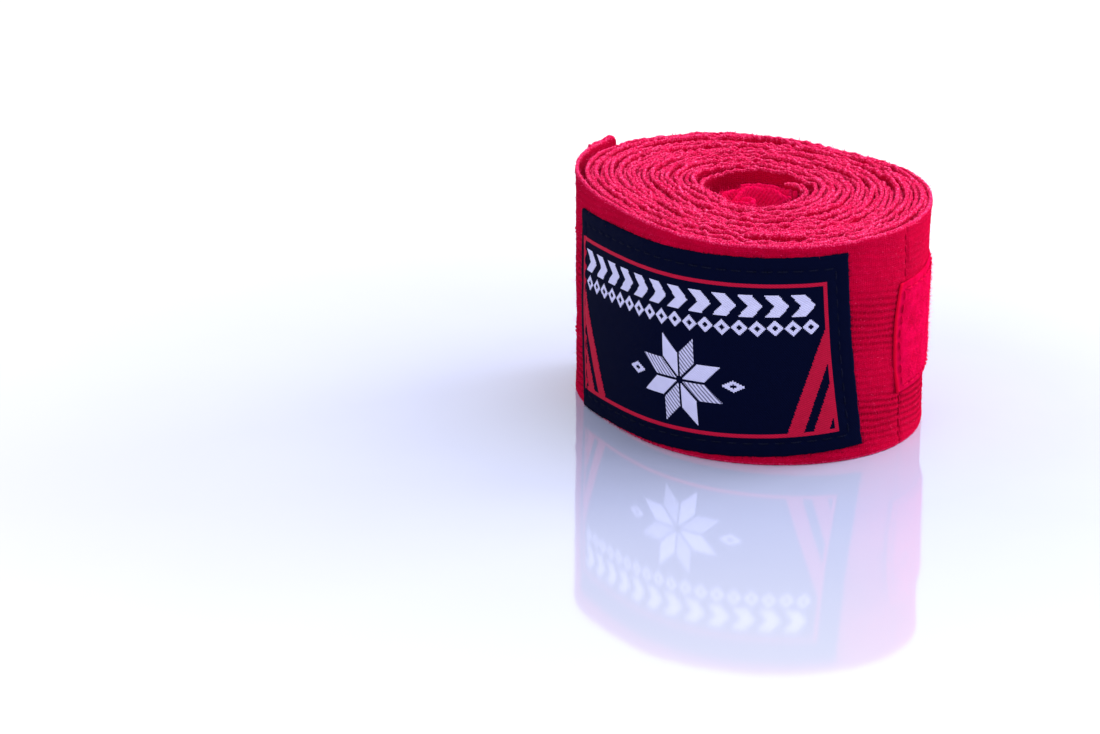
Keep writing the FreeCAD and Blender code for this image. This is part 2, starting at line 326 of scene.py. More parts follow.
class Shape:
    """Collects points and faces, then makes one piece of the visual model."""

    def __init__(self):
        self.points = []
        self.weave = []
        self.edge = []
        self.groove = []
        self.faces = []
        self.slots = []
        self.count = 0

    def add(self, points, face_blocks, weave=None, edge=None, groove=None, slot=0):
        """Adds points and blocks of faces that index them. weave is two millimetre coordinates a point."""
        points = np.asarray(points, float).reshape(-1, 3)
        total = len(points)
        self.points.append(points)
        self.weave.append(points[:, :2] if weave is None else weave.reshape(-1, 2))
        self.edge.append(np.zeros(total) if edge is None else edge.reshape(-1))
        self.groove.append(np.zeros(total) if groove is None else groove.reshape(-1))
        for block in face_blocks:
            self.faces.append(block + self.count)
            self.slots.append(np.broadcast_to(slot, len(block)))
        self.count += total

    def build(self, name, *materials):
        """Makes the mesh object, in metres."""
        mesh = bpy.data.meshes.new(name)
        faces = [row for block in self.faces for row in block.tolist()]
        mesh.from_pydata((np.concatenate(self.points) * MM).tolist(), [], faces)
        for material in materials:
            mesh.materials.append(material)
        mesh.polygons.foreach_set("material_index", np.concatenate(self.slots).astype(np.int32))
        mesh.polygons.foreach_set("use_smooth", np.ones(len(mesh.polygons), bool))
        corners = np.zeros(len(mesh.loops), np.int32)
        mesh.loops.foreach_get("vertex_index", corners)
        layer = mesh.uv_layers.new(name="weave")
        layer.data.foreach_set("uv", np.concatenate(self.weave)[corners].astype(np.float32).ravel())
        # On the cotton, groove carries painted shade and edge carries pink lint with a painted highlight; on
        # the pile, groove marks the tape's near end and edge a painted highlight on loose fibres.
        for label, values in (("edge", self.edge), ("groove", self.groove)):
            attribute = mesh.attributes.new(label, "FLOAT", "POINT")
            attribute.data.foreach_set("value", np.concatenate(values).astype(np.float32))
        mesh.update()
        obj = bpy.data.objects.new(name, mesh)
        bpy.context.scene.collection.objects.link(obj)
        return obj

    def make(self, name, node, slot, body, *materials):
        """Makes the object that stands in for a CAD node. It rides a body, unless body is None."""
        piece = self.build(name, *materials)
        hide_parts(node)
        if body is not None:
            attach(piece, body)
        return piece


def steps(start, end, step):
    """Evenly spaced values from start to end, about a step apart."""
    return np.linspace(start, end, max(2, int(round(abs(end - start) / step)) + 1))


def tube_faces(rings, around, closed=False):
    """Quads between neighbouring rings of points, in row order."""
    last = rings if closed else rings - 1
    i, j = np.meshgrid(np.arange(last), np.arange(around), indexing="ij")
    after_i, after_j = (i + 1) % rings, (j + 1) % around
    here, after = i * around, after_i * around
    return np.stack([here + j, after + j, after + after_j, here + after_j], -1).reshape(-1, 4)


def end_caps(rings, around):
    """Quads that close a tube's two ends, each a strip between the ring's two halves."""
    left = np.arange(around // 2)
    right = around - 1 - left
    near = np.stack([left[:-1], left[1:], right[1:], right[:-1]], -1)
    return [near, near[:, ::-1] + (rings - 1) * around]


def section_cap(heights):
    """Triangles that close a strip's section, joining points of its two faces at nearly equal heights."""
    left, right = 0, len(heights) - 1
    triangles = []
    while left + 1 < right:
        if heights[left + 1] <= heights[right - 1]:
            triangles.append((left, left + 1, right))
            left += 1
        else:
            triangles.append((left, right - 1, right))
            right -= 1
    return np.array(triangles)


def profile(low, high, half, outer, inner, round_points=5):
    """A strip's closed section: side from 1, outer, to -1, inner, with a height for each point.

    It runs up the outer face, over the top, down the inner face and under.
    """
    bend = np.linspace(0, np.pi, round_points + 2)[1:-1]
    side = np.concatenate([np.ones(len(outer)), np.cos(bend), -np.ones(len(inner)), -np.cos(bend)])
    over = high - half + half * np.sin(bend)
    under = low + half - half * np.sin(bend)
    return side, np.concatenate([outer, over, inner[::-1], under])


def flat(length, height):
    """No relief."""
    return np.zeros_like(height), np.zeros_like(height)


def level(length):
    """No rise of the top edge."""
    return np.zeros_like(length)


def ribbon(shape, place, lengths, section, half, surface=flat, lift=level, middle=0.0, high=STRIP_WIDTH,
           closed=False, slot=0):
    """Adds a closed ribbon that follows a path.

    place turns a length, an offset and a height into points, surface gives the outer face's relief, lift
    raises the top edge, and middle is the ribbon's own offset from the path. The lengths run so that the
    outer side is on the right, which on the strip is towards the core, and then every face points out.
    """
    side, height = section
    s, h = np.meshgrid(lengths, height, indexing="ij")
    face = np.broadcast_to(side, s.shape)
    relief, groove = surface(s, h)
    offset = middle + face * half + relief * np.clip(face, 0, 1)
    near_top = np.clip(1 - (high - h) / 20.0, 0, 1) ** 2
    points = place(s, offset, h + lift(s) * near_top)
    # Near the selvedges the cotton shows pink lint and a painted highlight.
    edge = np.clip(1 - np.minimum(h, high - h) / 0.6, 0, 1)
    rings, around = s.shape
    weave = np.stack([s, h], -1)
    groove = groove * (face > 0)
    shape.add(points, [tube_faces(rings, around, closed)], weave, edge, groove, slot)
    if not closed:
        ends = [0, -1]
        cap = section_cap(height)
        shape.add(points[ends], [cap, cap[:, ::-1] + around], weave[ends], edge[ends], groove[ends], slot)


def slab(shape, length, height, inner, outer, weave, slot=0, groove=None):
    """Adds a closed patch that lies on the strip, from grids of lengths, heights and two offsets."""
    rows, columns = length.shape
    total = rows * columns
    points = np.concatenate([
        on_strip(length, outer, height).reshape(-1, 3),
        on_strip(length, inner, height).reshape(-1, 3),
    ])
    i, j = np.meshgrid(np.arange(rows - 1), np.arange(columns - 1), indexing="ij")
    corner = (i * columns + j).reshape(-1)
    top = np.stack([corner, corner + columns, corner + columns + 1, corner + 1], -1)
    bottom = top[:, ::-1] + total
    index = np.arange(total).reshape(rows, columns)
    rim = np.concatenate([index[0, :-1], index[:-1, -1], index[-1, :0:-1], index[:0:-1, 0]])
    after = np.roll(rim, -1)
    wall = np.stack([rim, after, after + total, rim + total], -1)
    weave = np.concatenate([weave.reshape(-1, 2)] * 2)
    groove = np.zeros(2 * total) if groove is None else np.concatenate([groove.reshape(-1), np.zeros(total)])
    slots = np.concatenate([np.broadcast_to(slot, len(top)), np.zeros(len(bottom) + len(wall), int)])
    faces = np.concatenate([top, bottom, wall])
    shape.add(points, [faces], weave, None, groove, slots)


def tubes(shape, paths, radii, around=6, slot=0, edge=0.0):
    """Adds closed tubes along many paths of equal point count. paths is tubes x points x 3."""
    along = np.gradient(paths, axis=1)
    along /= np.linalg.norm(along, axis=-1, keepdims=True)
    helper = np.where(np.abs(along[..., 2:]) > 0.8, np.array([1.0, 0, 0]), np.array([0, 0, 1.0]))
    first = np.cross(along, helper)
    first /= np.linalg.norm(first, axis=-1, keepdims=True)
    second = np.cross(along, first)
    turn = np.arange(around) * 2 * np.pi / around
    ring = np.cos(turn)[:, None] * first[:, :, None, :] + np.sin(turn)[:, None] * second[:, :, None, :]
    points = paths[:, :, None, :] + ring * np.broadcast_to(radii, paths.shape[:2])[:, :, None, None]
    count, rings = paths.shape[:2]
    each = tube_faces(rings, around)
    base = np.arange(count)[:, None, None] * rings * around
    walls = (each[None] + base).reshape(-1, 4)
    ring_index = np.arange(around)
    if around == 3:
        caps = [ring_index[None], (ring_index[::-1] + (rings - 1) * around)[None]]
    else:
        caps = end_caps(rings, around)
    caps = [(cap[None] + base).reshape(-1, cap.shape[-1]) for cap in caps]
    # edge gives the tubes the cotton's pink lint and painted highlight.
    lint = np.full(count * rings * around, edge)
    shape.add(points, [walls[:, ::-1]] + [cap[:, ::-1] for cap in caps], edge=lint, slot=slot)


def fibres(shape, roots, directions, lengths, radius, seed):
    """Adds loose fibres that curl as they leave the cloth, as thin tapered tubes coloured like its edge,
    with the same pink lint and painted highlight.
    """
    random = np.random.default_rng(seed)
    curl = random.normal(0, 0.55, roots.shape)
    t = np.linspace(0, 1, 4)
    paths = (roots[:, None] + lengths[:, None, None] * t[:, None] * directions[:, None]
             + (lengths[:, None, None] * t[:, None] ** 2) * curl[:, None])
    paths[..., 2] = np.maximum(paths[..., 2], 2 * radius)
    tubes(shape, paths, radius * (1 - 0.75 * t)[None], around=3, edge=1.0)


def strip_fibres(shape, lengths, heights, offsets, up, size, radius, seed):
    """Adds fibres rooted on the strip. up is how much they point upwards rather than outwards."""
    random = np.random.default_rng(seed)
    roots = on_strip(lengths, offsets - 0.05, heights)
    out = outward(angle_at(lengths))
    away = np.concatenate([out * (1 - up)[:, None] * np.sign(offsets)[:, None], up[:, None]], -1)
    away += random.normal(0, 0.45, away.shape)
    away /= np.linalg.norm(away, axis=-1, keepdims=True)
    fibres(shape, roots, away, size * random.uniform(0.4, 1.3, len(roots)), radius, seed + 1)


def stitches(shape, length_ends, height_ends, face, radius, tilt=0.0):
    """Adds one arched thread for each pair of ends, sunk into the cloth at both ends.

    length_ends and height_ends are stitches x 2; face is the offset of the surface they lie on.
    """
    t = np.linspace(0, 1, 9)
    along = length_ends[:, :1] * (1 - t) + length_ends[:, 1:] * t
    up = height_ends[:, :1] * (1 - t) + height_ends[:, 1:] * t + tilt * np.sin(2 * np.pi * t)
    arch = np.sin(np.pi * t) ** 0.5
    offset = face - 1.4 * radius + 1.9 * radius * arch
    tubes(shape, on_strip(along, offset, up), radius * (0.75 + 0.25 * arch)[None], around=8)


def seam(shape, corners, step, share, face, radius, place=None, seed=5):
    """Adds a row of stitches along straight runs between corners, which are pairs of coordinates."""
    random = np.random.default_rng(seed)
    lengths, heights = [], []
    for (x0, y0), (x1, y1) in zip(corners[:-1], corners[1:]):
        run = math.hypot(x1 - x0, y1 - y0)
        count = max(1, round(run / step))
        for i in range(count):
            jitter = random.uniform(-0.04, 0.04, 4)
            ends = [(i + 0.5 - share / 2) / count, (i + 0.5 + share / 2) / count]
            x = [x0 + (x1 - x0) * e + j for e, j in zip(ends, jitter[:2])]
            y = [y0 + (y1 - y0) * e + j for e, j in zip(ends, jitter[2:])]
            lengths.append(x)
            heights.append(y)
    lengths, heights = np.array(lengths), np.array(heights)
    if place is not None:
        lengths, heights = place(lengths, heights)
    stitches(shape, lengths, heights, face, radius)


# --- node materials ---
# GROOVE_SHADE is painted shade in the grooves and the seam's crease.
GROOVE_SHADE = (0.17, 0.0002, 0.008, 1)
DEEP = (0.34, 0.0003, 0.018, 1)
CRIMSON = (0.50, 0.0004, 0.030, 1)
PINK = (0.90, 0.018, 0.14, 1)
# PALE_PINK also serves as painted glint highlights on the selvedges and fibres.
PALE_PINK = (1.0, 0.16, 0.39, 1)
PILE_DARK = (0.46, 0.0004, 0.030, 1)
PILE_RED = (0.58, 0.0008, 0.050, 1)
# PILE_FIBRE_HIGHLIGHT is a painted highlight on the loop tape's loose fibres.
PILE_FIBRE_HIGHLIGHT = (0.85, 0.006, 0.100, 1)
PILE_END = (0.64, 0.002, 0.028, 1)
PILE_SHEEN = (1.0, 0.06, 0.22, 1)
# WEBBING_RED is brighter than the strip's crimson: painted light that lifts the shaded core.
WEBBING_RED = (0.84, 0.0010, 0.080, 1)
HOOK_RED = (0.42, 0.002, 0.018, 1)
HOOK_DARK = (0.14, 0.0006, 0.006, 1)
NAVY = (0.0012, 0.0026, 0.019, 1)
NAVY_DARK = (0.0006, 0.0012, 0.008, 1)
LABEL_RED = (0.50, 0.0030, 0.040, 1)
LABEL_RED_DARK = (0.20, 0.0006, 0.008, 1)
LAVENDER = (0.62, 0.62, 0.90, 1)
LAVENDER_DARK = (0.26, 0.26, 0.46, 1)
TWILL_DARK = (0.03, 0.03, 0.09, 1)
INK = (0.008, 0.010, 0.030, 1)
INK_DARK = (0.001, 0.0015, 0.006, 1)
THREAD_RED = (0.62, 0.0010, 0.050, 1)
THREAD_DARK = (0.44, 0.0006, 0.030, 1)
# FLOOR_FAR is painted light: the floor fades towards white far from the roll.
FLOOR_NEAR = (0.42, 0.46, 0.68, 1)
FLOOR_PATCH = (0.46, 0.50, 0.71, 1)
FLOOR_FAR = (0.74, 0.74, 0.78, 1)


def new_material(name, roughness, sheen=0.0, sheen_tint=PALE_PINK, specular=0.2):
    """A node material, its tree and its shader."""
    material = bpy.data.materials.new(name)
    material.use_nodes = True
    shader = material.node_tree.nodes["Principled BSDF"]
    shader.inputs["Roughness"].default_value = roughness
    shader.inputs["Sheen Weight"].default_value = sheen
    shader.inputs["Sheen Roughness"].default_value = 0.4
    shader.inputs["Sheen Tint"].default_value = sheen_tint
    shader.inputs["Specular IOR Level"].default_value = specular
    return material, material.node_tree, shader


def calculate(tree, operation, *values):
    """The result of a math node."""
    made = tree.nodes.new("ShaderNodeMath")
    made.operation = operation
    for i, value in enumerate(values):
        if isinstance(value, (int, float)):
            made.inputs[i].default_value = value
        else:
            tree.links.new(value, made.inputs[i])
    return made.outputs[0]


def mix_colour(tree, share, first, second):
    """A colour between two others."""
    made = tree.nodes.new("ShaderNodeMix")
    made.data_type = "RGBA"
    for socket, value in ((made.inputs[0], share), (made.inputs[6], first), (made.inputs[7], second)):
        if isinstance(value, (int, float, tuple)):
            socket.default_value = value
        else:
            tree.links.new(value, socket)
    return made.outputs[2]


def mix_number(tree, share, first, second):
    """A number between two others."""
    made = tree.nodes.new("ShaderNodeMix")
    for i, value in enumerate((share, None, first, second)):
        if value is not None:
            tree.links.new(value, made.inputs[(0, 0, 2, 3)[i]])
    return made.outputs[0]


def rescale(tree, value, low, high, to_low=0.0, to_high=1.0):
    """A value mapped from one range to another and held inside it."""
    made = tree.nodes.new("ShaderNodeMapRange")
    for label, number in (("From Min", low), ("From Max", high), ("To Min", to_low), ("To Max", to_high)):
        made.inputs[label].default_value = number
    tree.links.new(value, made.inputs["Value"])
    return made.outputs[0]


def noise(tree, vector, scale, detail=3.0, roughness=0.55):
    """A noise texture whose grain is about 1 / scale across."""
    made = tree.nodes.new("ShaderNodeTexNoise")
    made.inputs["Scale"].default_value = scale
    made.inputs["Detail"].default_value = detail
    made.inputs["Roughness"].default_value = roughness
    tree.links.new(vector, made.inputs["Vector"])
    return made.outputs["Fac"]


def attribute(tree, name):
    """A number that the mesh carries at each point."""
    made = tree.nodes.new("ShaderNodeAttribute")
    made.attribute_name = name
    return made.outputs["Fac"]


def weave_axes(tree):
    """The weave coordinates in millimetres: both together, along and up."""
    uv = tree.nodes.new("ShaderNodeUVMap")
    uv.uv_map = "weave"
    split = tree.nodes.new("ShaderNodeSeparateXYZ")
    tree.links.new(uv.outputs[0], split.inputs[0])
    return uv.outputs[0], split.outputs[0], split.outputs[1]


def object_place(tree):
    """The place on the object, in millimetres."""
    place = tree.nodes.new("ShaderNodeTexCoord")
    scaled = tree.nodes.new("ShaderNodeVectorMath")
    scaled.operation = "SCALE"
    scaled.inputs["Scale"].default_value = 1 / MM
    tree.links.new(place.outputs["Object"], scaled.inputs[0])
    return scaled.outputs[0]


def wave(tree, value, period, shift=0.0):
    """A sine of a coordinate between 0 and 1, with a period in millimetres."""
    turned = calculate(tree, "MULTIPLY_ADD", value, 2 * math.pi / period, shift)
    return calculate(tree, "MULTIPLY_ADD", calculate(tree, "SINE", turned), 0.5, 0.5)


def bump(tree, shader, height, distance, strength=1.0):
    """Drives the shader's normal from a height; distance is in millimetres."""
    made = tree.nodes.new("ShaderNodeBump")
    made.inputs["Strength"].default_value = strength
    made.inputs["Distance"].default_value = distance * MM
    tree.links.new(height, made.inputs["Height"])
    tree.links.new(made.outputs[0], shader.inputs["Normal"])


def cotton(name, yarn=0.55, lint=0.40, sheen=0.04):
    """Red elastic cotton: crossed yarns, grooves darkened with painted shade, pink lint, and selvedges lit
    by pink lint and painted highlights.
    """
    material, tree, shader = new_material(name, 0.95, sheen, PALE_PINK, 0.0)
    _, along, up = weave_axes(tree)
    place = object_place(tree)
    wobble = calculate(tree, "MULTIPLY", noise(tree, place, 0.9), 5.0)
    yarns = calculate(tree, "MULTIPLY", wave(tree, along, yarn, wobble), wave(tree, up, yarn * 0.9, wobble))
    fuzz = noise(tree, place, 2.6, 6.0, 0.70)
    patch = noise(tree, place, 0.13, 2.0)
    edge = attribute(tree, "edge")
    colour = mix_colour(tree, rescale(tree, yarns, 0.0, 0.55, 0.65, 1.0), DEEP, CRIMSON)
    colour = mix_colour(tree, rescale(tree, patch, 0.35, 0.70, 0.0, 0.45), colour, DEEP)
    lint_on_face = rescale(tree, fuzz, 0.53, 0.72, 0.0, lint)
    # Near the selvedges the pink is partly lint and partly a painted highlight, as the top takes the most
    # light.
    edge_lint_and_highlight = rescale(tree, fuzz, 0.40, 0.56, 0.15, 1.0)
    colour = mix_colour(tree, mix_number(tree, edge, lint_on_face, edge_lint_and_highlight), colour, PINK)
    # Pale pink glints on the selvedges and fibres are painted highlights.
    painted_glints = calculate(tree, "MULTIPLY", rescale(tree, fuzz, 0.52, 0.64), edge)
    colour = mix_colour(tree, painted_glints, colour, PALE_PINK)
    # Painted shade in the grooves and the seam's crease.
    colour = mix_colour(tree, attribute(tree, "groove"), colour, GROOVE_SHADE)
    tree.links.new(colour, shader.inputs["Base Color"])
    bump(tree, shader, calculate(tree, "MULTIPLY_ADD", yarns, 0.4, fuzz), 0.26, 0.9)
    return material


def pile(name):
    """The loop tape's brushed pile: smooth from afar, streaked by the way it was stroked."""
    material, tree, shader = new_material(name, 0.85, 0.06, PILE_SHEEN, 0.0)
    place = object_place(tree)
    streak = noise(tree, place, 0.35, 3.0)
    loops = noise(tree, place, 4.0, 5.0, 0.75)
    colour = mix_colour(tree, rescale(tree, streak, 0.35, 0.65), PILE_DARK, PILE_RED)
    colour = mix_colour(tree, rescale(tree, loops, 0.55, 0.8, 0.0, 0.25), colour, PINK)
    # Loose fibres are lightened by a painted highlight.
    colour = mix_colour(tree, attribute(tree, "edge"), colour, PILE_FIBRE_HIGHLIGHT)
    colour = mix_colour(tree, attribute(tree, "groove"), colour, PILE_END)
    tree.links.new(colour, shader.inputs["Base Color"])
    bump(tree, shader, loops, 0.22, 0.8)
    return material


def woven(name, colour, dark, ribs=0.42, angle=0.0, contrast=0.5, roughness=0.7, specular=0.10):
    """Fine filament weave: close threads that run at an angle to the patch, in degrees."""
    material, tree, shader = new_material(name, roughness, 0.0, PALE_PINK, specular)
    uv, along, up = weave_axes(tree)
    turn = math.radians(angle)
    rise = calculate(tree, "MULTIPLY", up, math.sin(turn))
    across = calculate(tree, "MULTIPLY_ADD", along, math.cos(turn), rise)
    drift = calculate(tree, "MULTIPLY", noise(tree, uv, 0.7), 1.2)
    threads = wave(tree, across, ribs, drift)
    picks = wave(tree, up, 0.32)
    shade = calculate(tree, "MULTIPLY", threads, calculate(tree, "MULTIPLY_ADD", picks, 0.35, 0.65))
    tone = rescale(tree, shade, 0.05, 0.65, 1.0 - contrast, 1.0)
    tone = calculate(tree, "MULTIPLY", tone, rescale(tree, noise(tree, uv, 0.5), 0.3, 0.7, 0.82, 1.0))
    tree.links.new(mix_colour(tree, tone, dark, colour), shader.inputs["Base Color"])
    bump(tree, shader, shade, 0.07, 0.7)
    return material


def thread(name, colour, dark):
    """Twisted sewing thread."""
    material, tree, shader = new_material(name, 0.7, 0.05, colour, 0.02)
    place = object_place(tree)
    ply = noise(tree, place, 5.0, 2.0)
    shade = mix_colour(tree, rescale(tree, ply, 0.35, 0.65), dark, colour)
    tree.links.new(shade, shader.inputs["Base Color"])
    bump(tree, shader, ply, 0.05, 0.6)
    return material


def webbing(name):
    """Herringbone webbing of the thumb loop."""
    material, tree, shader = new_material(name, 0.9, 0.05, PALE_PINK, 0.0)
    _, along, up = weave_axes(tree)
    zigzag = calculate(tree, "PINGPONG", up, 2.5)
    ribs = wave(tree, calculate(tree, "ADD", along, zigzag), 1.1)
    fuzz = noise(tree, object_place(tree), 2.8, 5.0, 0.7)
    # The webbing's brighter red is painted light for the shaded core.
    colour = mix_colour(tree, rescale(tree, ribs, 0.1, 0.8, 0.7, 1.0), DEEP, WEBBING_RED)
    colour = mix_colour(tree, rescale(tree, fuzz, 0.48, 0.66, 0.0, 0.8), colour, PINK)
    tree.links.new(colour, shader.inputs["Base Color"])
    bump(tree, shader, calculate(tree, "MULTIPLY_ADD", fuzz, 2.0, ribs), 0.12, 0.8)
    return material


cloth = cotton("red_elastic_cotton")
pile_face = pile("brushed_loop_pile")
web_face = webbing("herringbone_webbing")
hook_face = woven("hook_tape_base", HOOK_RED, HOOK_DARK, 0.9, 0, 0.6, 0.45, 0.4)
label_ground = woven("label_ground", NAVY, NAVY_DARK, 0.42, 35, 0.6, 0.8, 0.02)
label_red = woven("label_red", LABEL_RED, LABEL_RED_DARK, 0.40, 60, 0.45)
label_light = woven("label_light", LAVENDER, LAVENDER_DARK, 0.45, 55, 0.30)
label_twill = woven("label_twill", LAVENDER, TWILL_DARK, 0.72, 42, 0.80)
dark_thread = thread("dark_thread", INK, INK_DARK)
red_thread = thread("red_thread", THREAD_RED, THREAD_DARK)


# --- the strip ---
EXPOSED_START = strip_length(FREE_BEARING + FULL_TURN + 10.0)
CLOTH_STEP = 0.32
HIDDEN_STEP = 0.36
WOUND_RUNS = 6
HIDDEN_FUZZ, OUTER_FUZZ, FACE_FUZZ = 7.0, 6.0, 14.0
PANEL_END = strip_length(LABEL_SPLIT_BEARING)
HIDDEN_HEIGHTS = np.array([1.0, 5.0, 18.0, 34.0, 43.0, 46.5, 48.3, 49.2])
HIDDEN_SECTION = profile(0.0, STRIP_WIDTH, HALF_THICK, HIDDEN_HEIGHTS, HIDDEN_HEIGHTS)
INNER_FACE = np.array([1.0, 5.0, 10.0, 16.0, 22.0, 28.0, 34.0, 40.0, 44.0, 47.0, 49.2])
FINE_SECTION = profile(0.0, STRIP_WIDTH, HALF_THICK, steps(0.7, STRIP_WIDTH - 0.7, 0.29), INNER_FACE, 6)


def rim_fibres(shape, start, end, per_mm, seed):
    """Fuzz along the top selvedge of a run of strip."""
    random = np.random.default_rng(seed)
    count = int((end - start) * per_mm)
    lengths = random.uniform(start, end, count)
    sides = random.choice([-1.0, 1.0], count) * HALF_THICK * random.uniform(0.3, 0.95, count)
    heights = STRIP_WIDTH - random.uniform(0.05, 0.9, count) + selvedge_lift(lengths)
    strip_fibres(shape, lengths, heights, sides, random.uniform(0.3, 0.9, count), 0.62, 0.06, seed + 1)


def face_fibres(shape, start, end, per_mm, seed):
    """Fuzz on the outer face of a run of strip, except under the label and the loop tape."""
    random = np.random.default_rng(seed)
    count = int((end - start) * per_mm)
    lengths = random.uniform(start, end, count)
    heights = random.uniform(0.4, STRIP_WIDTH, count)
    bare = under_label_or_tape(lengths, heights) < 0.05
    lengths, heights = lengths[bare], heights[bare]
    offsets = np.full(len(lengths), HALF_THICK)
    up = random.uniform(0.0, 0.5, len(lengths))
    strip_fibres(shape, lengths, heights, offsets, up, 0.65, 0.026, seed + 1)


def wound_turns():
    """Every turn that the next one covers, so that only its selvedges show, in runs of a few turns."""
    bounds = np.linspace(0.0, EXPOSED_START, WOUND_RUNS + 1)
    for number, (start, end) in enumerate(zip(bounds[:-1], bounds[1:])):
        shape = Shape()
        ribbon(shape, on_strip, steps(end, start, HIDDEN_STEP), HIDDEN_SECTION, HALF_THICK, selvedge_only,
               selvedge_lift)
        rim_fibres(shape, start, end, HIDDEN_FUZZ, 200 + 10 * number)
        shape.make(f"wound_turns_{number + 1}", "wound_strip", "strip_fabric", "roll", cloth)


def outer_cloth(name, node, body, start, end, seed):
    """A finely woven run of the outermost turn, with its fuzz."""
    shape = Shape()
    ribbon(shape, on_strip, steps(end, start, CLOTH_STEP), FINE_SECTION, HALF_THICK, outer_surface,
           selvedge_lift)
    rim_fibres(shape, start, end, OUTER_FUZZ, seed)
    face_fibres(shape, start, end, FACE_FUZZ, seed + 10)
    return shape.make(name, node, "strip_fabric", body, cloth)


def bend_points(bearings):
    """Start and end of a bend, in metres, on the outermost turn at two bearings."""
    start, end = [on_strip(strip_length(b), 0.0, HALF_HEIGHT) * MM for b in bearings]
    return {"start": tuple(start), "end": tuple(end)}


def exposed_turn():
    """The outermost turn where nothing covers it, from under the free end round to the cross seam."""
    outer_cloth("exposed_turn", "wound_strip", "roll", EXPOSED_START, SEAM_LENGTH, 71)


def label_panel():
    """The cloth that carries the label, from the cross seam to behind the label's far edge."""
    piece = outer_cloth("label_panel_cloth", "label_panel", None, SEAM_LENGTH, PANEL_END, 81)
    bend_points(PANEL_BEND)
    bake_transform(piece)


def free_end():
    """The cloth from behind the label's far edge to the free end."""
    piece = outer_cloth("free_end_cloth", "end_tab", None, PANEL_END, FREE_LENGTH, 91)
    bend_points(TAB_BEND)
    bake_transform(piece)


# --- the hems ---
HEM_HALF = 0.32
HEM_LENGTH = 8.0
HEM_SEAM = 6.0
HEM_SECTION = profile(0.0, STRIP_WIDTH, HEM_HALF, steps(0.7, STRIP_WIDTH - 0.7, 0.5), INNER_FACE, 5)


def end_hem():
    """The cloth folded back on the outer face at the free end, with its row of stitches."""
    shape = Shape()
    middle = HALF_THICK + HEM_HALF
    ribbon(shape, on_strip, steps(FREE_LENGTH, FREE_LENGTH - HEM_LENGTH, 0.4), HEM_SECTION, HEM_HALF,
           plain_surface, selvedge_lift, middle)
    random = np.random.default_rng(101)
    count = 260
    raw = FREE_LENGTH - HEM_LENGTH + random.uniform(0, 0.3, count)
    heights = random.uniform(1, STRIP_WIDTH - 1, count)
    strip_fibres(shape, raw, heights, np.full(count, middle), np.zeros(count), 0.9, 0.04, 102)
    shape.make("end_hem_fold", "end_hem", "strip_fabric", "free_end", cloth)
    shape = Shape()
    at = FREE_LENGTH - HEM_SEAM
    seam(shape, [(at, 1.5), (at, STRIP_WIDTH - 1.5)], 3.0, 0.72, HALF_THICK + 2 * HEM_HALF, 0.17)
    shape.make("end_hem_seam", "end_hem_stitching", "red_thread", "free_end", red_thread)


def core_hem():
    """The cloth folded back on the inner face at the core end."""
    shape = Shape()
    ribbon(shape, on_strip, steps(HEM_LENGTH, 0.0, 0.4), HEM_SECTION, HEM_HALF, plain_surface, selvedge_lift,
           -HALF_THICK - 0.06 - HEM_HALF)
    shape.make("core_hem_fold", "core_hem", "strip_fabric", "roll", cloth)


# --- the label ---
GROUND, RED, LIGHT, TWILL = range(4)
LABEL_GRAIN = 0.27
LABEL_THICK = 0.5
FRAME_LEFT, FRAME_RIGHT, FRAME_LOW, FRAME_HIGH = -36.4, 33.3, -18.0, 16.6
FRAME_LINE = 0.9
STAR_P, STAR_Q, STAR_SIDE = 0.7, -6.5, 5.7
SEWN_INSET = 3.0


def frame_line(p, q):
    """The thin red rectangle."""
    from_side = np.minimum(p - FRAME_LEFT, FRAME_RIGHT - p)
    inside = np.minimum(from_side, np.minimum(q - FRAME_LOW, FRAME_HIGH - q))
    return (inside >= 0) & (inside <= FRAME_LINE)


def corner_stripes(p, q, corner, side, width, height):
    """Slanting stripes that fill a triangle in a lower corner of the frame."""
    u = (corner - p) * side / width
    v = (q - FRAME_LOW) / height
    stripe = ((1 - u - v) * 2.0) % 1.0 < 0.62
    return (u >= 0) & (v >= 0) & (u + v <= 1) & stripe


def chevrons(p, q):
    """A band of broad arrowheads."""
    rise = np.abs(q - 11.6)
    place = (p - FRAME_LEFT - 4.2 + 0.9 * rise) / 5.45
    return (rise < 2.5) & (place >= 0) & (place < 12) & (place % 1.0 < 0.55)


def lozenges(p, q):
    """A band of small hollow diamonds."""
    place = (p - FRAME_LEFT - 2.0) / 3.65
    reach = np.abs(place % 1.0 - 0.5) * 3.65 + np.abs(q - 6.7)
    return (place >= 0) & (place < 18) & (reach < 1.7) & (reach > 0.65)


def star(p, q):
    """An eight-pointed quilt star: 0 outside, then 1 and 2 for alternate diamonds."""
    x, y = p - STAR_P, q - STAR_Q
    found = np.zeros(p.shape, int)
    for k in range(8):
        first, second = math.radians(45 * k), math.radians(45 * k + 45)
        area = math.sin(second - first)
        i = (x * math.sin(second) - y * math.cos(second)) / area
        j = (y * math.cos(first) - x * math.sin(first)) / area
        inside = (i > 0.4) & (j > 0.4) & (i < STAR_SIDE) & (j < STAR_SIDE)
        found[inside] = 1 + k % 2
    for side in (-1, 1):
        wing = np.abs(x - side * 12.2) / 2.6 + np.abs(y) / 1.3
        found[(wing < 1) & (wing > 0.35)] = 1
    return found


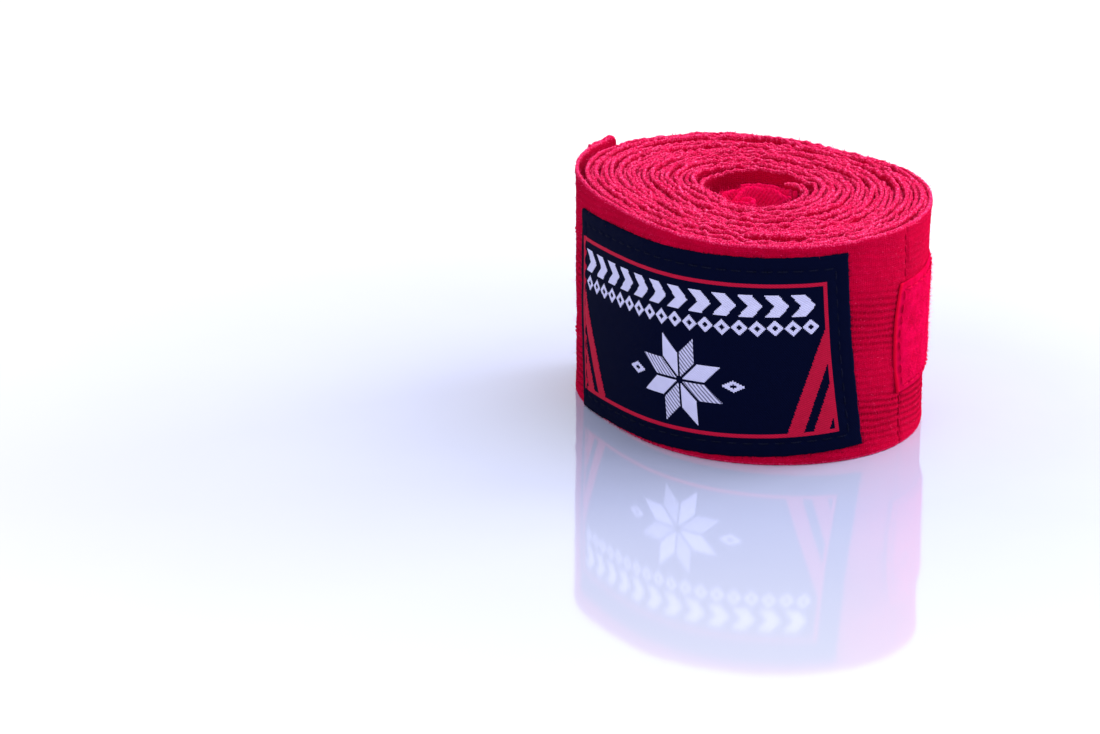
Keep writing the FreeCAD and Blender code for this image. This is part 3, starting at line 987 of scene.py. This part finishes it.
def label_colours(p, q):
    """Which thread shows at each place on the label."""
    colours = np.full(p.shape, GROUND)
    colours[corner_stripes(p, q, FRAME_RIGHT - 0.4, 1, 10.6, 25.0)] = RED
    colours[corner_stripes(p, q, FRAME_LEFT + 0.4, -1, 10.6, 25.0)] = RED
    colours[frame_line(p, q)] = RED
    colours[chevrons(p, q)] = LIGHT
    colours[lozenges(p, q)] = LIGHT
    found = star(p, q)
    colours[found == 1] = LIGHT
    colours[found == 2] = TWILL
    return colours


def label_face(p, q):
    """Relief of the label: soft puckers, a row of dimples where it is sewn and a fluttering cut edge."""
    to_edge = np.minimum(LABEL_HALF_P - np.abs(p), LABEL_HALF_Q - np.abs(q))
    sewn = np.exp(-((to_edge - SEWN_INSET) / 0.6) ** 2)
    pull = 0.7 + 0.3 * np.cos(2 * np.pi * (p + q) / 3.2)
    flutter = 0.14 * np.clip(1 - to_edge / SEWN_INSET, 0, 1) * mottle(p, q, 2.6, 2.6, 51)
    soft = 0.10 * mottle(p, q, 11, 8, 52) + 0.03 * mottle(p, q, 2.2, 2.0, 53)
    worn = np.clip(1 - to_edge / 0.35, 0, 1)
    return soft + flutter - 0.20 * sewn * pull - 0.25 * worn


def label():
    """The woven label, its raised threads in their own colours, and the lockstitch round it."""
    p, q = np.meshgrid(steps(-LABEL_HALF_P, LABEL_HALF_P, LABEL_GRAIN),
                       steps(-LABEL_HALF_Q, LABEL_HALF_Q, LABEL_GRAIN), indexing="ij")
    raised = (label_colours(p, q) > GROUND) * 0.07
    mid_p, mid_q = (p[1:, 1:] + p[:-1, :-1]) / 2, (q[1:, 1:] + q[:-1, :-1]) / 2
    colours = label_colours(mid_p, mid_q).reshape(-1)
    ragged_p = p + 0.10 * mottle(p, q, 0.7, 0.7, 54) * (np.abs(p) > LABEL_HALF_P - 0.3)
    ragged_q = q + 0.10 * mottle(p, q, 0.7, 0.7, 55) * (np.abs(q) > LABEL_HALF_Q - 0.3)
    length, height = label_place(ragged_p, ragged_q)
    outer = HALF_THICK + LABEL_THICK + label_face(p, q) + raised
    shape = Shape()
    slab(shape, length, height, np.full(p.shape, HALF_THICK - 0.02), outer, np.stack([p, q], -1), colours)
    label_fringe(shape)
    shape.make("label_woven", "label_patch", "label_weave", "label_flap",
               label_ground, label_red, label_light, label_twill)
    shape = Shape()
    x, y = LABEL_HALF_P - SEWN_INSET, LABEL_HALF_Q - SEWN_INSET
    seam(shape, [(-x, -y), (x, -y), (x, y), (-x, y), (-x, -y)], 3.2, 0.72, HALF_THICK + LABEL_THICK - 0.12,
         0.15, label_place)
    shape.make("label_seam", "label_stitching", "dark_thread", "label_flap", dark_thread)


def label_fringe(shape):
    """Short thread ends along the label's cut edges."""
    random = np.random.default_rng(56)
    count = 420
    run = random.uniform(-1, 1, count)
    side = random.integers(0, 4, count)
    sign = np.where(side % 2 == 0, 1.0, -1.0)
    across = side < 2
    p = np.where(across, sign * (LABEL_HALF_P - 0.1), run * LABEL_HALF_P)
    q = np.where(across, run * LABEL_HALF_Q, sign * (LABEL_HALF_Q - 0.1))
    length, height = label_place(p, q)
    further, higher = label_place(p + across * sign * 0.5, q + ~across * sign * 0.5)
    face = HALF_THICK + LABEL_THICK * random.uniform(0.3, 0.8, count)
    roots = on_strip(length, face, height)
    away = on_strip(further, face + 0.12, higher) - roots
    away /= np.linalg.norm(away, axis=-1, keepdims=True)
    fibres(shape, roots, away, random.uniform(0.25, 0.75, count), 0.05, 57)


# --- the loop tape ---
TAPE_THICK = 0.72
TAPE_LIP = 0.45
TAPE_SELVEDGE = 0.7


def loop_tape():
    """The brushed loop tape: a thin woven lip round a thicker pile, sewn down near its edge."""
    share, height = np.meshgrid(np.linspace(1, 0, 190),
                                HALF_HEIGHT + steps(-TAPE_HALF, TAPE_HALF, 0.30), indexing="ij")
    length = TAPE_FAR + (tape_end(height) - TAPE_FAR) * share
    to_edge = np.minimum(TAPE_HALF - np.abs(height - HALF_HEIGHT),
                         np.minimum(length - TAPE_FAR, tape_end(height) - length))
    body = smooth((to_edge - TAPE_SELVEDGE) / 1.2)
    nap = 0.05 * mottle(length, height, 0.7, 0.6, 111) + 0.08 * mottle(length, height, 4, 3, 112)
    sewn = 0.12 * np.exp(-((to_edge - 1.5) / 0.4) ** 2)
    lip = TAPE_LIP + 0.12 * mottle(length, height, 3, 3, 113) - 0.2 * np.clip(1 - to_edge / 0.25, 0, 1)
    thick = lip + (TAPE_THICK - TAPE_LIP) * body + nap * body - sewn
    shape = Shape()
    slab(shape, length, height, np.full(length.shape, HALF_THICK - 0.02), HALF_THICK + thick,
         np.stack([length, height], -1), 0, 1 - smooth((tape_end(height) - length - 0.2) / 0.9))
    random = np.random.default_rng(114)
    count = 3600
    at = random.uniform(TAPE_FAR + 1.6, TAPE_NEAR - 3.4, count)
    up = HALF_HEIGHT + random.uniform(-TAPE_HALF + 1.4, TAPE_HALF - 1.4, count)
    face = np.full(count, HALF_THICK + TAPE_THICK)
    strip_fibres(shape, at, up, face, np.full(count, 0.1), 0.5, 0.035, 115)
    shape.make("loop_tape_pile", "loop_tape", "loop_pile", "roll", pile_face)
    shape = Shape()
    low, high = HALF_HEIGHT - TAPE_HALF + 1.5, HALF_HEIGHT + TAPE_HALF - 1.5
    near = TAPE_NEAR - 3.0
    corners = [(TAPE_FAR + 1.5, low), (near, low), (near + 1.6, HALF_HEIGHT), (near, high),
               (TAPE_FAR + 1.5, high), (TAPE_FAR + 1.5, low)]
    seam(shape, corners, 2.9, 0.72, HALF_THICK + TAPE_LIP + 0.25, 0.16)
    shape.make("loop_tape_seam", "loop_tape_stitching", "red_thread", "roll", red_thread)


def cross_seam():
    """Stitches that cross the strip in the crease, above and below the loop tape."""
    shape = Shape()
    at = SEAM_LENGTH
    low, high = HALF_HEIGHT - TAPE_HALF, HALF_HEIGHT + TAPE_HALF
    seam(shape, [(at + 0.1, 1.2), (at + 0.5, low - 0.6)], 2.9, 0.72, HALF_THICK - 0.18, 0.15)
    seam(shape, [(at - 0.5, high + 0.6), (at + 0.4, STRIP_WIDTH - 1.2)], 2.9, 0.72, HALF_THICK - 0.18, 0.15)
    shape.make("cross_seam", "cross_seam_stitching", "red_thread", "roll", red_thread)


# --- the hook tape ---
HOOK_START, HOOK_END = strip_length(-66.0), strip_length(-92.0)
HOOK_BASE = 0.42
HOOK_PITCH = 1.25


def hook_tape():
    """The hook tape on the free end's inner face: a ribbed base, rows of hooks and the stitching."""
    length, height = np.meshgrid(steps(HOOK_START, HOOK_END, 0.4),
                                 HALF_HEIGHT + steps(-TAPE_HALF, TAPE_HALF, 0.4), indexing="ij")
    under = -HALF_THICK + 0.02
    shape = Shape()
    ridge = 0.05 * np.cos(2 * np.pi * height / HOOK_PITCH)
    slab(shape, length, height, np.full(length.shape, under),
         -HALF_THICK - HOOK_BASE - ridge, np.stack([length, height], -1))
    shape.make("hook_tape_base", "hook_tape", "hook_base", "free_end", hook_face)
    shape = Shape()
    at, up = np.meshgrid(steps(HOOK_START + 1.2, HOOK_END - 1.2, HOOK_PITCH),
                         HALF_HEIGHT + steps(-TAPE_HALF + 2.2, TAPE_HALF - 2.2, HOOK_PITCH), indexing="ij")
    at, up = at.reshape(-1, 1), up.reshape(-1, 1)
    t = np.linspace(0, 1, 7)
    reach = 0.42 * np.sin(t * np.pi * 0.80)
    bend = 0.36 * (1 - np.cos(t * np.pi * 0.80)) * np.where((np.round(up / HOOK_PITCH) % 2) == 0, 1, -1)
    paths = on_strip(at + 0 * t, -HALF_THICK - HOOK_BASE + 0.05 - reach, up + bend)
    tubes(shape, paths, (0.085 - 0.03 * t)[None], around=6)
    shape.make("hook_tape_hooks", "hook_tape", "hook_base", "free_end", hook_face)
    shape = Shape()
    low, high = HALF_HEIGHT - TAPE_HALF + 1.3, HALF_HEIGHT + TAPE_HALF - 1.3
    near, far = HOOK_START + 1.2, HOOK_END - 1.2
    corners = [(near, low), (far, low), (far, high), (near, high), (near, low)]
    seam(shape, corners, 2.9, 0.72, HALF_THICK + 0.02, 0.16)
    shape.make("hook_tape_seam", "hook_tape_stitching", "red_thread", "free_end", red_thread)


# --- the thumb loop ---
LOOP_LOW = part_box("thumb_loop")[0].z / MM
LOOP_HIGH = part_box("thumb_loop")[1].z / MM
LOOP_BEND, LOOP_GAP, LOOP_ANGLE = 6.2, 1.5, 230.0
LOOP_HALF = 0.4
LOOP_TURN = 138.0 - 90.0
LOOP_SECTION = profile(LOOP_LOW, LOOP_HIGH, LOOP_HALF, steps(LOOP_LOW + 0.7, LOOP_HIGH - 0.7, 0.45),
                       steps(LOOP_LOW + 0.7, LOOP_HIGH - 0.7, 0.9), 5)


def arc(centre, radius, start, end, step=0.4):
    """Points along an arc, with angles in degrees."""
    span = np.radians(steps(start, end, math.degrees(step / radius)))[:-1]
    return np.stack([centre[0] + radius * np.cos(span), centre[1] + radius * np.sin(span)], -1)


def loop_outline():
    """The folded webbing's centre in plan: a flattened loop bent into a C, a little uneven."""
    tip = math.radians(LOOP_ANGLE)
    far = (LOOP_BEND * math.cos(tip), LOOP_BEND * math.sin(tip))
    outline = np.concatenate([
        arc((0, 0), LOOP_BEND + LOOP_GAP, 0, LOOP_ANGLE),
        arc(far, LOOP_GAP, LOOP_ANGLE, LOOP_ANGLE + 180),
        arc((0, 0), LOOP_BEND - LOOP_GAP, LOOP_ANGLE, 0),
        arc((LOOP_BEND, 0), LOOP_GAP, 180, 360),
    ])
    turn = math.radians(LOOP_TURN)
    spin = np.array([[math.cos(turn), -math.sin(turn)], [math.sin(turn), math.cos(turn)]])
    outline = outline @ spin.T
    run = np.arange(len(outline)) * 0.4
    along = np.roll(outline, -1, 0) - np.roll(outline, 1, 0)
    along /= np.linalg.norm(along, axis=1, keepdims=True)
    uneven = 0.30 * np.sin(2 * np.pi * run / run[-1] * 7 + 0.6)
    return outline + np.stack([along[:, 1], -along[:, 0]], -1) * uneven[:, None]


def follow(path):
    """A place function for a ribbon that follows a plan path, whose points are about 0.4 mm apart."""
    spans = np.linalg.norm(np.diff(path, axis=0), axis=1)
    run = np.concatenate([[0.0], np.cumsum(spans)])
    along = np.gradient(path, axis=0)
    along /= np.linalg.norm(along, axis=1, keepdims=True)
    out = np.stack([along[:, 1], -along[:, 0]], -1)

    def place(length, offset, height):
        x = np.interp(length, run, path[:, 0]) + offset * np.interp(length, run, out[:, 0])
        y = np.interp(length, run, path[:, 1]) + offset * np.interp(length, run, out[:, 1])
        return np.stack(np.broadcast_arrays(x, y, height), -1)

    return place, run[-1]


def web_surface(length, height):
    """Relief of the webbing: herringbone ribs and a soft wave."""
    zigzag = np.abs((height % 5.0) - 2.5)
    ribs = 0.04 * np.cos(2 * np.pi * (length + zigzag) / 1.1)
    return ribs + 0.06 * mottle(length, height, 2.0, 3.0, 121), np.zeros_like(height)


def web_lift(length):
    """Uneven top edge of the webbing."""
    return 2.4 + 0.9 * wander(length, 6.0, 122) + 0.20 * wander(length, 1.1, 123)


def thumb_loop():
    """The thumb loop's webbing, curled up in the core."""
    outline = loop_outline()
    place, total = follow(np.concatenate([outline, outline[:1]]))
    shape = Shape()
    ribbon(shape, place, np.linspace(0, total, len(outline) + 1)[:-1], LOOP_SECTION, LOOP_HALF, web_surface,
           web_lift, high=LOOP_HIGH, closed=True)
    random = np.random.default_rng(124)
    count = 700
    at = random.uniform(0, total, count)
    roots = place(at, random.uniform(-0.3, 0.3, count), LOOP_HIGH + web_lift(at) - 0.2)
    away = random.normal(0, 0.4, roots.shape) + np.array([0, 0, 1.0])
    fibres(shape, roots, away, random.uniform(0.3, 0.9, count), 0.03, 125)
    shape.make("thumb_loop_web", "thumb_loop", "loop_webbing", "thumb_loop", web_face)


TAIL_START, TAIL_END = (128.0, 8.62), (226.0, 11.2)


def tail_path():
    """Plan path of the loop's tail, from the bar tack round to the turn of the strip it is sewn to."""
    share = np.linspace(0, 1, 60)
    bearing = np.radians(TAIL_START[0] + (TAIL_END[0] - TAIL_START[0]) * share)
    radius = TAIL_START[1] + (TAIL_END[1] - TAIL_START[1]) * smooth(share)
    return np.stack([radius * np.sin(bearing), -radius * np.cos(bearing)], -1)


def thumb_loop_tail():
    """The loop's tail and its bar tack."""
    path = tail_path()
    place, total = follow(path)
    shape = Shape()
    ribbon(shape, place, steps(0, total, 0.4), LOOP_SECTION, LOOP_HALF, web_surface, web_lift,
           high=LOOP_HIGH)
    piece = shape.make("thumb_loop_tail_web", "thumb_loop_tail", "loop_webbing", None, web_face)
    start = place(total, 0.0, 0.0) * MM
    end = place(total * 0.22, 0.0, 0.0) * MM
    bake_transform(piece)
    shape = Shape()
    low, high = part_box("thumb_loop_stitching")[0].z / MM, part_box("thumb_loop_stitching")[1].z / MM
    t = np.linspace(0, 1, 9)
    arch = np.sin(np.pi * t) ** 0.5
    middle = total * 10.0 / (TAIL_END[0] - TAIL_START[0])
    rows = np.linspace(low, high, 12)[:, None]
    zigzag = np.where(np.arange(12) % 2 == 0, 0.45, -0.45)[:, None]
    paths = place(middle + 2.6 * (t - 0.5) + 0 * rows, LOOP_HALF + 0.16 * arch, rows + zigzag * (t - 0.5))
    tubes(shape, paths, (0.14 * (0.75 + 0.25 * arch))[None], around=8)
    shape.make("thumb_loop_tack", "thumb_loop_stitching", "red_thread", "thumb_loop", red_thread)


wound_turns()
exposed_turn()
label_panel()
free_end()
end_hem()
core_hem()
label()
loop_tape()
cross_seam()
hook_tape()
thumb_loop()
thumb_loop_tail()

# --- stage, light and camera ---
CAMERA_ELEVATION = 17.6
CAMERA_DISTANCE = 668.7
LENS, SENSOR = 100.1, 36.0
AIM_RIGHT, AIM_UP = 44.65, 15.45


def floor():
    """A pale glossy sheet that gives a faint reflection."""
    material, tree, shader = new_material("pale_acrylic", 0.06, 0.0, PALE_PINK, 1.0)
    shader.inputs["IOR"].default_value = 2.0
    away = tree.nodes.new("ShaderNodeVectorMath")
    away.operation = "LENGTH"
    tree.links.new(object_place(tree), away.inputs[0])
    near = mix_colour(tree, noise(tree, object_place(tree), 0.02), FLOOR_NEAR, FLOOR_PATCH)
    # Paler with distance from the roll: painted light that fades the floor into the white backdrop.
    tint = mix_colour(tree, rescale(tree, away.outputs["Value"], 70, 260), near, FLOOR_FAR)
    tree.links.new(tint, shader.inputs["Base Color"])
    half = 4.0
    corners = [(-half, -half, 0), (half, -half, 0), (half, half, 0), (-half, half, 0)]
    mesh = bpy.data.meshes.new("floor")
    mesh.from_pydata(corners, [], [(0, 1, 2, 3)])
    mesh.materials.append(material)
    sheet = bpy.data.objects.new("floor", mesh)
    bpy.context.scene.collection.objects.link(sheet)


def soft_light(name, bearing, elevation, distance, size, power, colour=(1, 1, 1)):
    """A square soft box that faces the roll. Its bearing is from the camera's, positive to the right."""
    data = bpy.data.lights.new(name, "AREA")
    data.size = size
    data.energy = power
    data.color = colour
    lamp = bpy.data.objects.new(name, data)
    turn, up = math.radians(bearing + VIEW_BEARING), math.radians(elevation)
    away = Vector((math.sin(turn) * math.cos(up), -math.cos(turn) * math.cos(up), math.sin(up)))
    lamp.location = away * distance
    lamp.rotation_mode = "QUATERNION"
    lamp.rotation_quaternion = away.to_track_quat("Z", "Y")
    lamp.visible_glossy = False
    bpy.context.scene.collection.objects.link(lamp)


def surroundings():
    """White studio walls, and colour that isn't toned down."""
    world = bpy.data.worlds.new("studio")
    world.use_nodes = True
    background = world.node_tree.nodes["Background"]
    background.inputs["Color"].default_value = (0.97, 0.97, 1.0, 1)
    background.inputs["Strength"].default_value = 1.0
    bpy.context.scene.world = world
    bpy.context.scene.view_settings.view_transform = "Standard"


def camera():
    """The camera's aim is left of the roll and below its middle."""
    turn, down = math.radians(VIEW_BEARING), math.radians(CAMERA_ELEVATION)
    forward = Vector((-math.sin(turn) * math.cos(down), math.cos(turn) * math.cos(down), -math.sin(down)))
    right = Vector((math.cos(turn), math.sin(turn), 0))
    up = right.cross(forward)
    place = Vector((0, 0, HALF_HEIGHT)) - forward * CAMERA_DISTANCE - right * AIM_RIGHT - up * AIM_UP
    data = bpy.data.cameras.new("camera")
    data.lens = LENS
    data.sensor_width = SENSOR
    data.clip_start = 0.01
    made = bpy.data.objects.new("camera", data)
    made.location = place * MM
    made.rotation_mode = "QUATERNION"
    made.rotation_quaternion = (-forward).to_track_quat("Z", "Y")
    bpy.context.scene.collection.objects.link(made)
    bpy.context.scene.camera = made


floor()
surroundings()
soft_light("key", 110, 62, 0.9, 0.9, 8)
soft_light("fill", -30, 35, 1.1, 0.9, 2)
soft_light("rim", 112, 10, 0.7, 0.35, 6)
camera()
